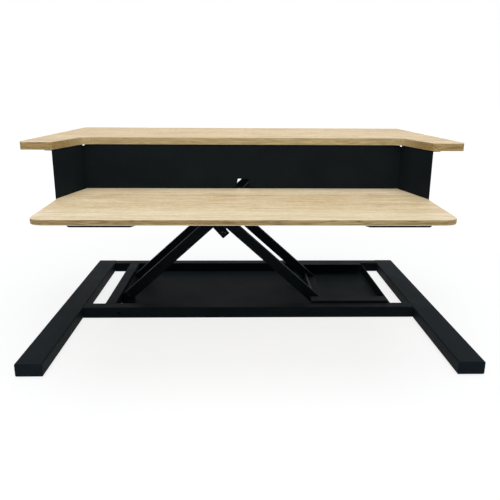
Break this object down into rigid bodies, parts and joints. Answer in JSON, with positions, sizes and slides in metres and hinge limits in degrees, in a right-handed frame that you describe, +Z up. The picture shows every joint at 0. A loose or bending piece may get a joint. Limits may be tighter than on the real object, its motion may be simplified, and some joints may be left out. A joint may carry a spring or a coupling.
{
  "type": "standing desk converter",
  "caption": "Two-tier standing desk converter: pale oak shelf with a front recess, keyboard tray on a folded riser, scissor lift with gas spring and open black steel base.",
  "frame": {"origin": "on the desk top under the middle of the whole object's box", "axes": "+X to the user's right, +Y away from the user, +Z up"},
  "size_m": [0.85, 0.705, 0.4077],
  "materials": {
    "powder_coat": "fine satin-black powder coat on steel",
    "black_steel": "smooth black oxide or enamel on steel",
    "black_plastic": "moulded, fine matt grain",
    "rubber": "matt",
    "nylon": "machined, satin",
    "zinc": "zinc plated",
    "chrome": "hard chrome, ground",
    "oak_laminate": "pale oak laminate on board, satin"
  },
  "bodies": {
    "base": {"left_foot": "powder_coat", "right_foot": "powder_coat", "front_rail": "powder_coat", "rear_rail": "powder_coat", "left_crossbar": "powder_coat", "base_pan": "powder_coat", "lower_bracket_front": "powder_coat", "lower_bracket_rear": "powder_coat", "left_foot_front_cap": "black_plastic", "left_foot_front_pad": "rubber", "left_foot_rear_cap": "black_plastic", "left_foot_rear_pad": "rubber", "right_foot_front_cap": "black_plastic", "right_foot_front_pad": "rubber", "right_foot_rear_cap": "black_plastic", "right_foot_rear_pad": "rubber"},
    "inner_frame": {"inner_frame_bar_front": "powder_coat", "inner_frame_bar_rear": "powder_coat", "gas_spring_lug_front": "powder_coat", "gas_spring_lug_rear": "powder_coat", "lower_pivot_bolt_front": "black_steel", "lower_pivot_bolt_rear": "black_steel", "inner_frame_left_plate": "powder_coat", "inner_frame_right_plate": "powder_coat", "gas_spring_lower_pin": "black_steel", "upper_axle": "black_steel"},
    "outer_frame": {"outer_frame_bar_front": "powder_coat", "outer_frame_bar_rear": "powder_coat", "cross_pivot_bolt_front": "black_steel", "cross_pivot_bolt_rear": "black_steel", "cross_pivot_spacer_front": "nylon", "cross_pivot_spacer_rear": "nylon", "outer_frame_left_plate": "powder_coat", "outer_frame_right_plate": "powder_coat", "lower_axle": "black_steel"},
    "platform": {"upper_shelf": "oak_laminate", "keyboard_tray": "oak_laminate", "riser_panel": "powder_coat", "lift_plate": "powder_coat", "gas_spring_bracket": "powder_coat", "upper_bracket_front": "powder_coat", "upper_bracket_rear": "powder_coat", "upper_pivot_bolt_front": "black_steel", "upper_pivot_bolt_rear": "black_steel", "paddle_bracket_left": "powder_coat", "paddle_pin_left": "zinc", "paddle_bracket_right": "powder_coat", "paddle_pin_right": "zinc"},
    "spring_cylinder": {"gas_spring_cylinder": "black_steel"},
    "spring_rod": {"gas_spring_rod": "chrome"},
    "paddle_left": {"release_paddle_left": "black_plastic"},
    "paddle_right": {"release_paddle_right": "black_plastic"},
    "lower_roller_front": {"lower_roller_front": "nylon"},
    "lower_roller_rear": {"lower_roller_rear": "nylon"},
    "upper_roller_front": {"upper_roller_front": "nylon"},
    "upper_roller_rear": {"upper_roller_rear": "nylon"}
  },
  "joints": [
    {"name": "lift", "type": "hinge", "parent": "base", "child": "inner_frame", "pos_m": [-0.2908, 0.16375, 0.016], "axis": [0, -1, 0], "range_deg": [-28.5, 0]},
    {"name": "cross_pivot", "type": "hinge", "parent": "inner_frame", "child": "outer_frame", "pos_m": [-0.06503, 0.16375, 0.21928], "axis": [0, -1, 0], "range_deg": [-0.2, 57.2]},
    {"name": "platform_hinge", "type": "hinge", "parent": "outer_frame", "child": "platform", "pos_m": [-0.24064, 0.16375, 0.3774], "axis": [0, -1, 0], "range_deg": [-28.7, 0.2]},
    {"name": "spring_swing", "type": "hinge", "parent": "inner_frame", "child": "spring_cylinder", "pos_m": [-0.05937, 0.16375, 0.17055], "axis": [0, -1, 0], "range_deg": [-0.2, 53.62]},
    {"name": "spring_stroke", "type": "slide", "parent": "spring_cylinder", "child": "spring_rod", "axis": [-0.5978, 0, 0.8017], "range_m": [-0.04572, 0.0003]},
    {"name": "lower_roller_front_spin", "type": "hinge", "parent": "outer_frame", "child": "lower_roller_front", "pos_m": [0.16073, 0.16375, 0.016], "axis": [0, -1, 0], "continuous": true},
    {"name": "lower_roller_rear_spin", "type": "hinge", "parent": "outer_frame", "child": "lower_roller_rear", "pos_m": [0.16073, 0.16375, 0.016], "axis": [0, -1, 0], "continuous": true},
    {"name": "upper_roller_front_spin", "type": "hinge", "parent": "inner_frame", "child": "upper_roller_front", "pos_m": [0.11057, 0.16375, 0.3774], "axis": [0, -1, 0], "continuous": true},
    {"name": "upper_roller_rear_spin", "type": "hinge", "parent": "inner_frame", "child": "upper_roller_rear", "pos_m": [0.11057, 0.16375, 0.3774], "axis": [0, -1, 0], "continuous": true},
    {"name": "paddle_left_squeeze", "type": "hinge", "parent": "platform", "child": "paddle_left", "pos_m": [-0.2482, -0.2605, 0.28245], "axis": [-1, 0, 0], "range_deg": [0, 5], "stiffness_Nm_per_rad": 0.5, "springref_deg": -6.88},
    {"name": "paddle_right_squeeze", "type": "hinge", "parent": "platform", "child": "paddle_right", "pos_m": [0.2394, -0.2605, 0.28245], "axis": [-1, 0, 0], "range_deg": [0, 5], "stiffness_Nm_per_rad": 0.5, "springref_deg": -6.88}
  ],
  "couplings": [
    {"joint": "cross_pivot", "follows": "lift", "ratio": -2},
    {"joint": "platform_hinge", "follows": "lift", "ratio": 1},
    {"joint": "spring_swing", "follows": "lift", "ratio": -1.8745},
    {"joint": "spring_stroke", "follows": "lift", "m_per_rad": 0.091306}
  ]
}
